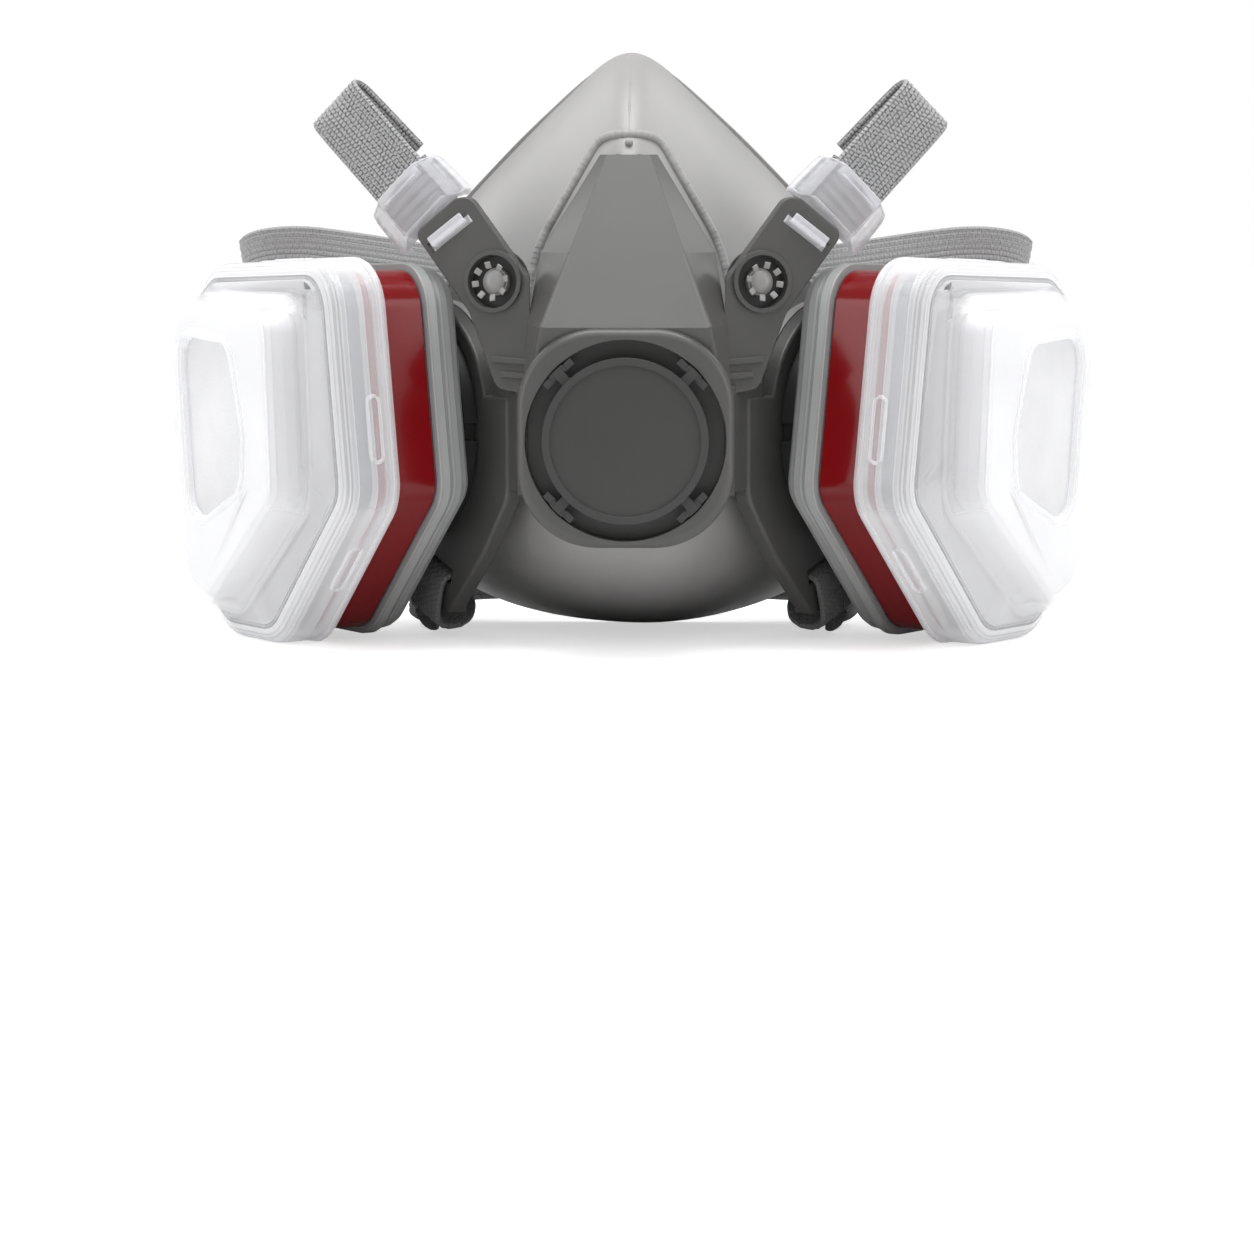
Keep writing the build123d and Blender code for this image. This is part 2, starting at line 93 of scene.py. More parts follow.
# The room is plain white where it is looked at, and dimmer as a light.
world = bpy.data.worlds.new("pale_room")
bpy.context.scene.world = world
world.use_nodes = True
room = world.node_tree
looked_at = room.nodes.new("ShaderNodeLightPath")
brightness = room.nodes.new("ShaderNodeMapRange")
brightness.inputs["To Min"].default_value, brightness.inputs["To Max"].default_value = 0.41, 1.0
room.links.new(looked_at.outputs["Is Camera Ray"], brightness.inputs["Value"])
room.nodes["Background"].inputs["Color"].default_value = (1.0, 1.0, 1.0, 1.0)
room.links.new(brightness.outputs[0], room.nodes["Background"].inputs["Strength"])
bpy.context.scene.view_settings.view_transform = "Standard"

floor_mesh = bmesh.new()
bmesh.ops.create_grid(floor_mesh, x_segments=1, y_segments=1, size=3.0)
table_top = bpy.data.meshes.new("table_top")
floor_mesh.to_mesh(table_top)
floor_mesh.free()
table = bpy.data.objects.new("table_top", table_top)
bpy.context.scene.collection.objects.link(table)
white_table = bpy.data.materials.new("white_table")
white_table.use_nodes = True
table_shader = white_table.node_tree.nodes["Principled BSDF"]
table_shader.inputs["Base Color"].default_value = (0.8, 0.8, 0.8, 1.0)
table_shader.inputs["Roughness"].default_value = 0.7
table_shader.inputs["Emission Color"].default_value = (1.0, 1.0, 1.0, 1.0)
table_seen = white_table.node_tree.nodes.new("ShaderNodeLightPath")
table_glow = white_table.node_tree.nodes.new("ShaderNodeMath")
table_glow.operation = "MULTIPLY"
table_glow.inputs[1].default_value = 0.55  # it looks white without lighting the mask from below
white_table.node_tree.links.new(table_seen.outputs["Is Camera Ray"], table_glow.inputs[0])
white_table.node_tree.links.new(table_glow.outputs[0], table_shader.inputs["Emission Strength"])
table_top.materials.append(white_table)


# ---------------------------------------------------------------- facepiece
# The soft cup that seals on the face: grey elastomer moulded in one piece, with
# a fine matt surface from the mould.
def build_grain():
    """Shader group: fine moulded grain, as a normal, and a slow unevenness of colour."""
    group = bpy.data.node_groups.new("moulded_grain", "ShaderNodeTree")
    for socket, kind, value in (
        ("Colour", "NodeSocketColor", (0.5, 0.5, 0.5, 1)),
        ("Unevenness", "NodeSocketFloat", 0.06),
        ("Grain Scale", "NodeSocketFloat", 2500.0),
        ("Grain Depth", "NodeSocketFloat", 0.05),
        ("Roughness", "NodeSocketFloat", 0.4),
        ("Edge Radius", "NodeSocketFloat", 0.0003),
    ):
        group.interface.new_socket(socket, in_out="INPUT", socket_type=kind).default_value = value
    group.interface.new_socket("Colour", in_out="OUTPUT", socket_type="NodeSocketColor")
    group.interface.new_socket("Roughness", in_out="OUTPUT", socket_type="NodeSocketFloat")
    group.interface.new_socket("Normal", in_out="OUTPUT", socket_type="NodeSocketVector")
    make, link = group.nodes.new, group.links.new
    given, result = make("NodeGroupInput"), make("NodeGroupOutput")
    place = make("ShaderNodeTexCoord")
    slow = make("ShaderNodeTexNoise")
    slow.inputs["Scale"].default_value = 45.0
    slow.inputs["Detail"].default_value = 5.0
    link(place.outputs["Object"], slow.inputs["Vector"])
    swing = make("ShaderNodeMapRange")
    swing.inputs["From Min"].default_value, swing.inputs["From Max"].default_value = 0.3, 0.7
    link(slow.outputs["Fac"], swing.inputs["Value"])
    low = make("ShaderNodeMath")
    low.operation = "SUBTRACT"
    low.inputs[0].default_value = 1.0
    link(given.outputs["Unevenness"], low.inputs[1])
    high = make("ShaderNodeMath")
    high.operation = "ADD"
    high.inputs[0].default_value = 1.0
    link(given.outputs["Unevenness"], high.inputs[1])
    link(low.outputs[0], swing.inputs["To Min"])
    link(high.outputs[0], swing.inputs["To Max"])
    tint = make("ShaderNodeVectorMath")
    tint.operation = "SCALE"
    link(given.outputs["Colour"], tint.inputs[0])
    link(swing.outputs[0], tint.inputs["Scale"])
    link(tint.outputs[0], result.inputs["Colour"])
    fine = make("ShaderNodeTexNoise")
    fine.inputs["Detail"].default_value = 2.0
    link(place.outputs["Object"], fine.inputs["Vector"])
    link(given.outputs["Grain Scale"], fine.inputs["Scale"])
    bump = make("ShaderNodeBump")
    bump.inputs["Distance"].default_value = 0.0002
    edge = make("ShaderNodeBevel")
    edge.samples = 4
    link(given.outputs["Edge Radius"], edge.inputs["Radius"])
    link(edge.outputs["Normal"], bump.inputs["Normal"])
    link(given.outputs["Grain Depth"], bump.inputs["Strength"])
    link(fine.outputs["Fac"], bump.inputs["Height"])
    link(bump.outputs[0], result.inputs["Normal"])
    dull = make("ShaderNodeMath")
    dull.operation = "MULTIPLY"
    link(given.outputs["Roughness"], dull.inputs[0])
    link(swing.outputs[0], dull.inputs[1])
    link(dull.outputs[0], result.inputs["Roughness"])
    return group


moulded_grain = build_grain()


def moulded(name, colour, roughness, grain=0.05, scale=2500.0, unevenness=0.06):
    """Material of a moulded plastic or rubber part."""
    material = bpy.data.materials.new(name)
    material.use_nodes = True
    tree = material.node_tree
    shader = tree.nodes["Principled BSDF"]
    surface = tree.nodes.new("ShaderNodeGroup")
    surface.node_tree = moulded_grain
    surface.inputs["Colour"].default_value = (*colour, 1.0)
    surface.inputs["Roughness"].default_value = roughness
    surface.inputs["Grain Depth"].default_value = grain
    surface.inputs["Grain Scale"].default_value = scale
    surface.inputs["Unevenness"].default_value = unevenness
    tree.links.new(surface.outputs["Colour"], shader.inputs["Base Color"])
    tree.links.new(surface.outputs["Roughness"], shader.inputs["Roughness"])
    tree.links.new(surface.outputs["Normal"], shader.inputs["Normal"])
    return material


def finish_nodes(material, *names):
    """Puts one material on CAD nodes; a plain name stands for its right and left pair."""
    for name in names:
        for node in (name, name + "_right", name + "_left"):
            if node in nodes:
                for place in nodes[node].material_slots:
                    place.material = material


face_rubber = moulded("face_rubber", (0.36, 0.355, 0.353), 0.36, grain=0.06, scale=1800.0)
finish_nodes(face_rubber, "facepiece")

# ---------------------------------------------------------------- harness yoke
# The hard frame that holds the facepiece: one dark grey moulding with the valve
# housing, the fairing over the nose, and a ring and two strap arms on each side.
yoke_plastic = moulded("yoke_plastic", (0.084, 0.083, 0.081), 0.33, grain=0.06)
finish_nodes(yoke_plastic, "harness_yoke")

# ---------------------------------------------------------------- exhalation valve
# A snap-on cover over a silicone flap on its seat, in the front of the yoke.
cover_plastic = moulded("cover_plastic", (0.045, 0.045, 0.044), 0.45, grain=0.1)
finish_nodes(cover_plastic, "exhalation_cover")
black_plastic = moulded("black_plastic", (0.03, 0.03, 0.03), 0.4)
finish_nodes(black_plastic, "exhalation_valve_seat", "inhalation_port", "port_lock_ring",
             "inhalation_valve_seat", "clasp_eye", "clasp_hook")
silicone = moulded("silicone", (0.72, 0.7, 0.66), 0.35)
finish_nodes(silicone, "exhalation_flap", "inhalation_flap")
gasket_rubber = moulded("gasket_rubber", (0.025, 0.025, 0.025), 0.6)
finish_nodes(gasket_rubber, "port_gasket")

# ---------------------------------------------------------------- cartridge bases
# Grey moulded base of each cartridge: a raised rim where it grips the canister, a
# groove under it, and a rounded back that draws in towards the bayonet socket.
MM = 0.001
BACK = -6.66  # from the ports' zero to the middle of the mask's depth, in millimetres
joints = {joint["name"]: joint for joint in frame["record"]["behaviour"]["joints"]}
UP = Vector((0, 0, 1))


def plane_of(origin, across, outward):
    """Frame with x across a piece, y up it and z out of it."""
    outward = Vector(outward).normalized()
    up = outward.cross(Vector(across)).normalized()
    across = up.cross(outward)
    turned = Matrix((across, up, outward)).transposed().to_4x4()
    return Matrix.Translation(Vector(origin)) @ turned


port_joint = joints["cartridge_right_twist"]
port_out = Vector(port_joint["axis"]).normalized()
PORT = plane_of(port_joint["pos_m"], (-port_out.y, port_out.x, 0), port_out)


def flat(points, height, place):
    """Points given in millimetres in a frame's plane, as places in the world."""
    return [place @ Vector((x * MM, y * MM, height * MM)) for x, y in points]


def rounded(corners, radii, inset=0.0, steps=8):
    """Outline through a clockwise polygon with rounded corners, moved inwards."""
    points = []
    for i, radius in enumerate(radii):
        before, corner, after = (Vector(corners[(i + k) % len(corners)]) for k in (-1, 0, 1))
        into, out = (corner - before).normalized(), (after - corner).normalized()
        side_in, side_out = Vector((into.y, -into.x)), Vector((out.y, -out.x))
        inner = corner + (side_in + side_out) * inset / (1 + side_in.dot(side_out))
        radius = max(radius - inset, 0.4)
        middle = (side_in + side_out).normalized()
        centre = inner + middle * radius / middle.dot(side_in)
        for step in range(steps + 1):
            way = (-side_in).slerp(-side_out, step / steps)
            points.append(tuple(centre + way * radius))
    return points


def stacked(loops):
    """A mesh extruded from its first loop through the others; returns it and its rings."""
    shape = bmesh.new()
    ring = [shape.verts.new(place) for place in loops[0]]
    face = shape.faces.new(ring)
    rings = [ring]
    for loop in loops[1:]:
        grown = bmesh.ops.extrude_face_region(shape, geom=[face])["geom"]
        fresh = {tuple(v.co): v for v in grown if isinstance(v, bmesh.types.BMVert)}
        face = next(f for f in grown if isinstance(f, bmesh.types.BMFace))
        ring = [fresh[tuple(v.co)] for v in rings[-1]]
        for vert, place in zip(ring, loop):
            vert.co = place
        rings.append(ring)
    bmesh.ops.recalc_face_normals(shape, faces=shape.faces[:])
    return shape, rings


def join_into(shape, other):
    """Adds another mesh to a shape."""
    held = bpy.data.meshes.new("held")
    other.to_mesh(held)
    shape.from_mesh(held)
    bpy.data.meshes.remove(held)
    other.free()


def place_piece(name, shape, material, body, replaced=()):
    """Turns a shape into a piece that rides on a body and stands for CAD nodes."""
    for face in shape.faces:
        face.smooth = True
    mesh = bpy.data.meshes.new(name)
    shape.to_mesh(mesh)
    mesh.set_sharp_from_angle(angle=radians(38.0))
    mesh.materials.append(material)
    piece = bpy.data.objects.new(name, mesh)
    bpy.context.scene.collection.objects.link(piece)
    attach(piece, body)
    if replaced:
        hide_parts(*replaced)
    return piece


def place_pair(name, shape, material, body, replaced=()):
    """The right piece as shaped, and its mirror image on the left."""
    pieces = []
    for side in ("right", "left"):
        if side == "left":
            bmesh.ops.scale(shape, vec=(-1, 1, 1), verts=shape.verts[:])
            bmesh.ops.reverse_faces(shape, faces=shape.faces[:])
        on = body if body == "mask" else f"{body}_{side}"
        stands_for = [f"{node}_{side}" for node in replaced]
        pieces.append(place_piece(f"{name}_{side}", shape, material, on, stands_for))
    shape.free()
    return pieces


CARTRIDGE = ((27.8, 38.2), (36.4, -13.5), (1.5, -46.9), (-28.5, -46.9), (-41.5, -8), (-37, 35.5))
CARTRIDGE_ROUND = (12, 10, 14, 13, 60, 13)
BASE_PROFILE = (  # height above the port's plane, and how far in from the outline
    (0.1, 9.5), (0.3, 6.4), (1.0, 4.3), (2.2, 2.9), (3.6, 2.1), (5.2, 1.8), (5.9, 1.9),
    (6.1, 2.3), (6.4, 2.4), (6.6, 2.1), (6.75, 1.25), (7.1, 0.95), (8.9, 0.95), (9.3, 1.2),
    (9.4, 1.8),
)
cartridge_plastic = moulded("cartridge_plastic", (0.36, 0.368, 0.365), 0.34)
base, _ = stacked([
    flat(rounded(CARTRIDGE, CARTRIDGE_ROUND, inset), height, PORT) for height, inset in BASE_PROFILE
])
place_pair("base_body", base, cartridge_plastic, "cartridge", ["cartridge_base"])

# ---------------------------------------------------------------- facepiece edges
# The rubber rolls up into a bright rim along the fairing's gap, a parting line runs
# down the nose, and a soft lip turns inwards all round to seal on the face.
cup = bmesh.new()
cup.from_mesh(nodes["facepiece"].data)
bmesh.ops.remove_doubles(cup, verts=cup.verts[:], dist=1e-6)
cup_surface = BVHTree.FromBMesh(cup)
cup.free()


def on_front(x, z):
    """The point of the cup's outside straight behind a point in front of it."""
    hit = cup_surface.ray_cast(Vector((x * MM, -0.2, z * MM)), Vector((0, 1, 0)))[0]
    return hit if hit else Vector((x * MM, -0.02, z * MM))


def smooth_path(path, gap, rounds=3):
    """A path rounded by corner cutting and spaced evenly."""
    for _ in range(rounds):
        fresh = [path[0]]
        for before, after in zip(path, path[1:]):
            fresh += [before.lerp(after, 0.25), before.lerp(after, 0.75)]
        path = fresh + [path[-1]]
    lengths = [0.0]
    for before, after in zip(path, path[1:]):
        lengths.append(lengths[-1] + (after - before).length)
    count, result, at = max(int(lengths[-1] / gap), 3), [], 0
    for k in range(count + 1):
        want = lengths[-1] * k / count
        while at < len(path) - 2 and lengths[at + 1] < want:
            at += 1
        share = (want - lengths[at]) / max(lengths[at + 1] - lengths[at], 1e-9)
        result.append(path[at].lerp(path[at + 1], min(max(share, 0.0), 1.0)))
    return result


def bead(path, radii, sides=12):
    """A round bead along an open path, thinning as its radii say."""
    loops_here = []
    for i, place in enumerate(path):
        along = (path[min(i + 1, len(path) - 1)] - path[max(i - 1, 0)]).normalized()
        first = along.cross(Vector((0, 1, 0))).normalized()
        second = along.cross(first)
        share = i / (len(path) - 1)
        radius = radii[0] + (radii[1] - radii[0]) * share
        radius *= min(1.0, 0.25 + 8 * min(share, 1 - share)) * MM
        turns = [2 * pi * k / sides for k in range(sides)]
        loops_here.append([place + (first * cos(t) + second * sin(t)) * radius for t in turns])
    return stacked(loops_here)[0]


RIM_ROUTE = ((24.2, 58), (23.0, 70.7), (20.4, 86.2), (14.2, 97.0), (8.0, 107.6), (6.4, 110.9),
             (0.0, 111.6))
route = list(RIM_ROUTE) + [(-x, z) for x, z in reversed(RIM_ROUTE[:-1])]
flat_route = smooth_path([Vector((x, 0, z)) for x, z in route], 1.2, rounds=2)
rim_path = [on_front(place.x, place.z) for place in flat_route]
for _ in range(3):
    threes = zip(rim_path, rim_path[1:], rim_path[2:])
    inner = [(before + here + after) / 3 for before, here, after in threes]
    rim_path = [rim_path[0]] + inner + [rim_path[-1]]
rim_bead = bead([place + Vector((0, -0.1 * MM, 0)) for place in rim_path], (1.15, 1.15))
NOSE_HEIGHTS = (112.0, 115.0, 118.0, 121.0, 124.0, 126.5)
part_path = smooth_path([on_front(0, z) for z in NOSE_HEIGHTS], 0.9, rounds=1)
join_into(rim_bead, bead(part_path, (0.3, 0.22)))
nub = bmesh.new()
bmesh.ops.create_uvsphere(nub, u_segments=20, v_segments=12, radius=0.9 * MM)
nub_place = on_front(0, 110.0) + Vector((0, -0.8 * MM, -0.4 * MM))
bmesh.ops.translate(nub, vec=nub_place, verts=nub.verts[:])
join_into(rim_bead, nub)
place_piece("facepiece_rim", rim_bead, face_rubber, "mask")
rim_bead.free()

RIM_EDGE = ((-10, 35), (12, 38), (38, 43), (62, 41), (98, 27), (122, 16), (140, 14))


def edge_depth(height):
    """How far back the face seal's edge lies at a height, in millimetres."""
    for (low, start), (high, end) in zip(RIM_EDGE, RIM_EDGE[1:]):
        if height <= high:
            share = (height - low) / (high - low)
            return start + (end - start) * share + BACK
    return RIM_EDGE[-1][1] + BACK


LIP = ((-3.1, -2.0), (-3.3, 0.2), (-2.6, 1.6), (-1.0, 2.3), (1.5, 2.1), (5.0, 0.9), (9.0, -1.4),
       (12.0, -4.2), (12.3, -5.2), (11.4, -5.0), (8.2, -2.7), (4.6, -0.7), (1.6, 0.4),
       (0.1, -0.4), (-0.4, -2.0))
SEAL_HEIGHT = 58  # the seal's edge is found by looking outwards from this height
seal_centre = Vector((0, 0, SEAL_HEIGHT * MM))
seat = []
SEAL_STEPS = 120
for k in range(SEAL_STEPS):
    turn = 2 * pi * k / SEAL_STEPS
    way = Vector((cos(turn), 0, sin(turn)))
    spot = None
    for step in range(120):  # from the front to the rearmost place where the wall still stands
        depth = -22 + step * 0.5
        found = cup_surface.ray_cast(Vector((0, depth * MM, SEAL_HEIGHT * MM)), way)[0]
        if found and depth <= edge_depth(found.z / MM) - 1.5:
            spot = found
    seat.append((spot, way))
radii = [(spot - seal_centre).xz.length if spot else None for spot, _ in seat]
for k, radius in enumerate(radii):
    if radius is None:
        near = [radii[(k + step) % SEAL_STEPS] for step in range(-6, 7)]
        near = [value for value in near if value]
        radii[k] = sum(near) / len(near)
depths = [edge_depth((seal_centre.z + radii[k] * seat[k][1].z) / MM) for k in range(SEAL_STEPS)]
for _ in range(3):
    radii = [(radii[k - 1] + radii[k] * 2 + radii[(k + 1) % SEAL_STEPS]) / 4
             for k in range(SEAL_STEPS)]
    depths = [(depths[k - 1] + depths[k] * 2 + depths[(k + 1) % SEAL_STEPS]) / 4
              for k in range(SEAL_STEPS)]
lip_loops = []
for k, (_, way) in enumerate(seat):
    hold = seal_centre + way * radii[k]
    lip_loops.append([
        Vector((0, (depths[k] + back) * MM, 0)) + Vector((hold.x, 0, hold.z)) - way * inward * MM
        for inward, back in LIP
    ])
lip, _ = stacked(lip_loops)
bmesh.ops.delete(lip, geom=[f for f in lip.faces if len(f.verts) > 4], context="FACES_ONLY")
bmesh.ops.bridge_loops(lip, edges=[e for e in lip.edges if e.is_boundary])
bmesh.ops.recalc_face_normals(lip, faces=lip.faces[:])
place_piece("face_seal_lip", lip, face_rubber, "mask")
lip.free()

# ---------------------------------------------------------------- canisters
# Silver-grey pressed canisters with a glossy red printed band round the foot, a
# perforated lid on top and carbon inside.
can_finish = moulded("can_finish", (0.19, 0.2, 0.22), 0.33)
can_finish.node_tree.nodes["Principled BSDF"].inputs["Metallic"].default_value = 0.5
finish_nodes(can_finish, "cartridge_shell", "cartridge_lid")
red_band = moulded("red_band", (0.19, 0.0, 0.002), 0.2, grain=0.01, unevenness=0.03)
red_shader = red_band.node_tree.nodes["Principled BSDF"]
red_shader.inputs["Coat Weight"].default_value = 0.22
red_shader.inputs["Specular IOR Level"].default_value = 0.3
red_shader.inputs["Coat Roughness"].default_value = 0.08
band, _ = stacked([
    flat(rounded(CARTRIDGE, CARTRIDGE_ROUND, inset), height, PORT)
    for height, inset in ((9.9, 3.0), (9.9, 2.5), (10.0, 2.45), (23.9, 2.45), (24.0, 2.5), (24.0, 3.0))
])
place_pair("red_label", band, red_band, "cartridge", ["label_band"])
carbon = moulded("carbon", (0.015, 0.015, 0.015), 0.8, grain=0.8, scale=900.0)
finish_nodes(carbon, "carbon_bed")

# ---------------------------------------------------------------- filter retainers
# Thermoformed covers in clear, slightly milky sheet: a skirt with latch bosses, a
# rounded shoulder, and a raised dome with a beaded window in front of the felt.
def clear_plastic_of(name, colour, alpha, rim_alpha, roughness, painted_glow):
    """Milky clear sheet that thickens to the eye where it turns away.

    The painted glow is a white emission that paints light into the sheet, standing in for light
    scattered inside it.
    """
    material = moulded(name, colour, roughness, grain=0.02, unevenness=0.02)
    tree = material.node_tree
    shader = tree.nodes["Principled BSDF"]
    shader.inputs["IOR"].default_value = 1.5
    shader.inputs["Specular IOR Level"].default_value = 0.7
    # painted light: a white emission makes the sheet glow by itself, though it is no lamp
    shader.inputs["Emission Color"].default_value = (1.0, 1.0, 1.0, 1.0)
    shader.inputs["Emission Strength"].default_value = painted_glow
    turned = tree.nodes.new("ShaderNodeLayerWeight")
    turned.inputs["Blend"].default_value = 0.35
    cover = tree.nodes.new("ShaderNodeMapRange")
    cover.inputs["To Min"].default_value, cover.inputs["To Max"].default_value = alpha, rim_alpha
    tree.links.new(turned.outputs["Facing"], cover.inputs["Value"])
    tree.links.new(cover.outputs[0], shader.inputs["Alpha"])
    return material


# the last value, 0.15, is the painted glow of the milky sheet
clear_plastic = clear_plastic_of("clear_plastic", (0.93, 0.93, 0.955), 0.17, 0.66, 0.12, 0.15)
DOME = ((15.5, 28.2), (18.6, -14), (-16, -40.5), (-29.5, -36), (-38, 4), (-36, 27.5))
DOME_ROUND = (7, 7, 9, 7, 60, 9)
WINDOW = ((-2.5, 18.8), (4.2, 0), (3.6, -11.5), (-20.5, -21.5), (-26, 20))
WINDOW_ROUND = (6, 8, 6, 6, 5)
SHEET = 1.1


def round_over(centre_height, centre_inset, radius, start, end, steps=6):
    """Heights and insets along a rounded edge, by angle from straight out."""
    angles = [radians(start + (end - start) * k / steps) for k in range(steps + 1)]
    return [(centre_height + radius * sin(a), centre_inset - radius * cos(a)) for a in angles]


def skirt_loop(height, inset):
    return flat(rounded(CARTRIDGE, CARTRIDGE_ROUND, inset), height, PORT)


def dome_loop(height, inset):
    return flat(rounded(DOME, DOME_ROUND, inset), height, PORT)


skirt = [(20.7, SHEET), (20.6, 0.3), (20.7, -0.35), (21.3, -0.45), (21.8, -0.3), (22.1, 0.1)]
skirt += [(25.0, 0.05)] + round_over(29.4, 3.6, 3.6, 0, 90) + [(33.0, 4.6)]
loops = [skirt_loop(height, inset) for height, inset in skirt]
retainer, _ = stacked(loops)
# the flat cap is cut back to a sheet, and the dome stands on it
top_face = max(retainer.faces, key=lambda face: (PORT.inverted() @ face.calc_center_median()).z
               if len(face.verts) > 4 else -1)
foot_face = min(retainer.faces, key=lambda face: (PORT.inverted() @ face.calc_center_median()).z
                if len(face.verts) > 4 else 9)
bmesh.ops.delete(retainer, geom=[top_face, foot_face], context="FACES_ONLY")
dome_profile = [(33.0, -3.4), (33.0, -2.5), (33.5, -2.0), (34.4, -1.7), (37.0, -1.0)]
dome_profile += round_over(40.0, 2.0, 2.2, 6, 90) + [(42.2, 3.0)]
dome_shape, _ = stacked([dome_loop(height, inset) for height, inset in dome_profile])
caps = [face for face in dome_shape.faces if len(face.verts) > 4]
bmesh.ops.delete(dome_shape, geom=caps, context="FACES_ONLY")
window_profile = [(42.2, -3.2), (42.2, -2.4), (42.75, -2.1), (43.0, -1.5), (42.75, -0.9),
                  (42.2, -0.6), (42.0, -0.3), (41.2, 0.0)]
window_loops = [flat(rounded(WINDOW, WINDOW_ROUND, inset), h, PORT) for h, inset in window_profile]
window_shape, _ = stacked(window_loops)
caps = [face for face in window_shape.faces if len(face.verts) > 4]
bmesh.ops.delete(window_shape, geom=caps, context="FACES_ONLY")
join_into(retainer, dome_shape)
join_into(retainer, window_shape)


def rim_near(shape, place, most):
    """The open edges of a shape whose ends lie on given places."""
    spots = {tuple(round(c, 6) for c in p) for p in place}
    found = [e for e in shape.edges if e.is_boundary
             and all(tuple(round(c, 6) for c in v.co) in spots for v in e.verts)]
    return found[:most]


def bridge(shape, first, second):
    edges = rim_near(shape, first, len(first)) + rim_near(shape, second, len(second))
    bmesh.ops.bridge_loops(shape, edges=edges)


bridge(retainer, loops[-1], dome_loop(*dome_profile[0]))
bridge(retainer, dome_loop(*dome_profile[-1]), window_loops[0])
bmesh.ops.recalc_face_normals(retainer, faces=retainer.faces[:])
for piece in place_pair("retainer_shell", retainer, clear_plastic, "retainer", ["filter_retainer"]):
    wall = piece.modifiers.new("wall", "SOLIDIFY")
    wall.thickness, wall.offset = 0.9 * MM, -1.0

# latch slots: an oblong moulded outline on three sides of the skirt
LATCHES = ((34.1, 2.0), (21.0, -29.6), (-4.0, 38.5))
LATCH_HALF, LATCH_STEPS = 5.6, 28  # half its straight length, and points round it


def tube_round(path, radius, sides=8):
    """A closed tube along a closed path."""
    loops_here = []
    for i, place in enumerate(path):
        along = (path[(i + 1) % len(path)] - path[i - 1]).normalized()
        out = Vector(port_out) if abs(along.dot(port_out)) < 0.9 else UP
        first = along.cross(out).normalized()
        second = along.cross(first)
        turns = [2 * pi * k / sides for k in range(sides)]
        loops_here.append([place + (first * cos(t) + second * sin(t)) * radius for t in turns])
    tube, _ = stacked(loops_here)
    caps_here = [face for face in tube.faces if len(face.verts) > 4]
    bmesh.ops.delete(tube, geom=caps_here, context="FACES_ONLY")
    ends = [e for e in tube.edges if e.is_boundary]
    bmesh.ops.bridge_loops(tube, edges=ends)
    bmesh.ops.recalc_face_normals(tube, faces=tube.faces[:])
    return tube


corner_points = [Vector(corner) for corner in CARTRIDGE]
latches = bmesh.new()
for u, v in LATCHES:
    side = min(range(len(corner_points)), key=lambda i: abs(
        (corner_points[i] - Vector((u, v))).length + (corner_points[i - 1] - Vector((u, v))).length
        - (corner_points[i] - corner_points[i - 1]).length))
    along_2d = (corner_points[side] - corner_points[side - 1]).normalized()
    start = corner_points[side - 1]
    foot = start + along_2d * (Vector((u, v)) - start).dot(along_2d)
    out_2d = Vector((-along_2d.y, along_2d.x))
    centre = foot + out_2d * 0.15
    path = []
    for k in range(LATCH_STEPS):
        turn = 2 * pi * k / LATCH_STEPS
        shift = LATCH_HALF if cos(turn) > 0 else -LATCH_HALF
        spot = centre + along_2d * (shift + 1.5 * cos(turn))
        path.append(PORT @ Vector((spot.x * MM, spot.y * MM, (24.9 + 1.5 * sin(turn)) * MM)))
    join_into(latches, tube_round(path, 0.38 * MM))
place_pair("latch_outline", latches, clear_plastic, "retainer", [])

# ---------------------------------------------------------------- prefilter pads
# White particulate felt pressed into each dome, with a soft puffed edge.
felt = moulded("filter_felt", (0.8, 0.8, 0.82), 0.9, grain=0.6, scale=1500.0)
pad_profile = [(32.0, 6.0), (32.1, 3.2), (32.8, 2.2), (34.5, 1.7), (37.0, 1.7), (39.2, 2.1),
                               (40.2, 3.2), (40.55, 5.0), (40.6, 7.5)]
pad, _ = stacked([dome_loop(height, inset) for height, inset in pad_profile])
layer, _ = stacked([skirt_loop(height, inset) for height, inset in (
    (31.1, 6.0), (31.1, 4.5), (31.25, 4.2), (31.65, 4.2), (31.8, 4.5), (31.8, 6.0))])
join_into(pad, layer)
for piece in place_pair("felt_pad", pad, felt, "retainer", ["prefilter_pad"]):
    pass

# ---------------------------------------------------------------- strap buckles
# Milky moulded sliders hooked through the upper arms: a raised plate over the
# webbing between two curved side wings, and a bar behind.
ARM_OUT = Vector((-0.36, -0.93, 0.05))
swing_joint = joints["buckle_right_swing"]
ARM_TURN = plane_of((0, 0, 0), swing_joint["axis"], ARM_OUT)
ARM = Matrix.Translation(Vector(swing_joint["pos_m"])) @ ARM_TURN
# the round hole is the arm's origin
ARM = ARM @ Matrix.Translation((2.2 * MM, -17.7 * MM, 1.0 * MM))
LEAN = Matrix.Translation((-4.6 * MM, 14.6 * MM, 0)) @ Matrix.Rotation(radians(8.0), 4, "Z")
BUCKLE = ARM @ LEAN
# the buckles' sheet has painted glow too, at 0.12
buckle_plastic = clear_plastic_of("buckle_plastic", (0.78, 0.78, 0.82), 0.4, 0.8, 0.2, 0.12)
half = ((0.0, -1.3), (5.4, -1.5), (6.0, -1.8), (6.4, -2.7), (8.2, -2.9), (9.4, -3.5), (10.0, -4.8),
        (10.0, -8.0), (8.6, -8.2), (8.5, -5.6), (8.1, -4.7), (7.3, -4.35), (0.0, -4.3))
section = list(half) + [(-x, w) for x, w in reversed(half[1:-1])]
levels = (3.4, 4.2, 6.0, 9.0, 12.0, 14.8, 16.4, 17.0)
loops = []
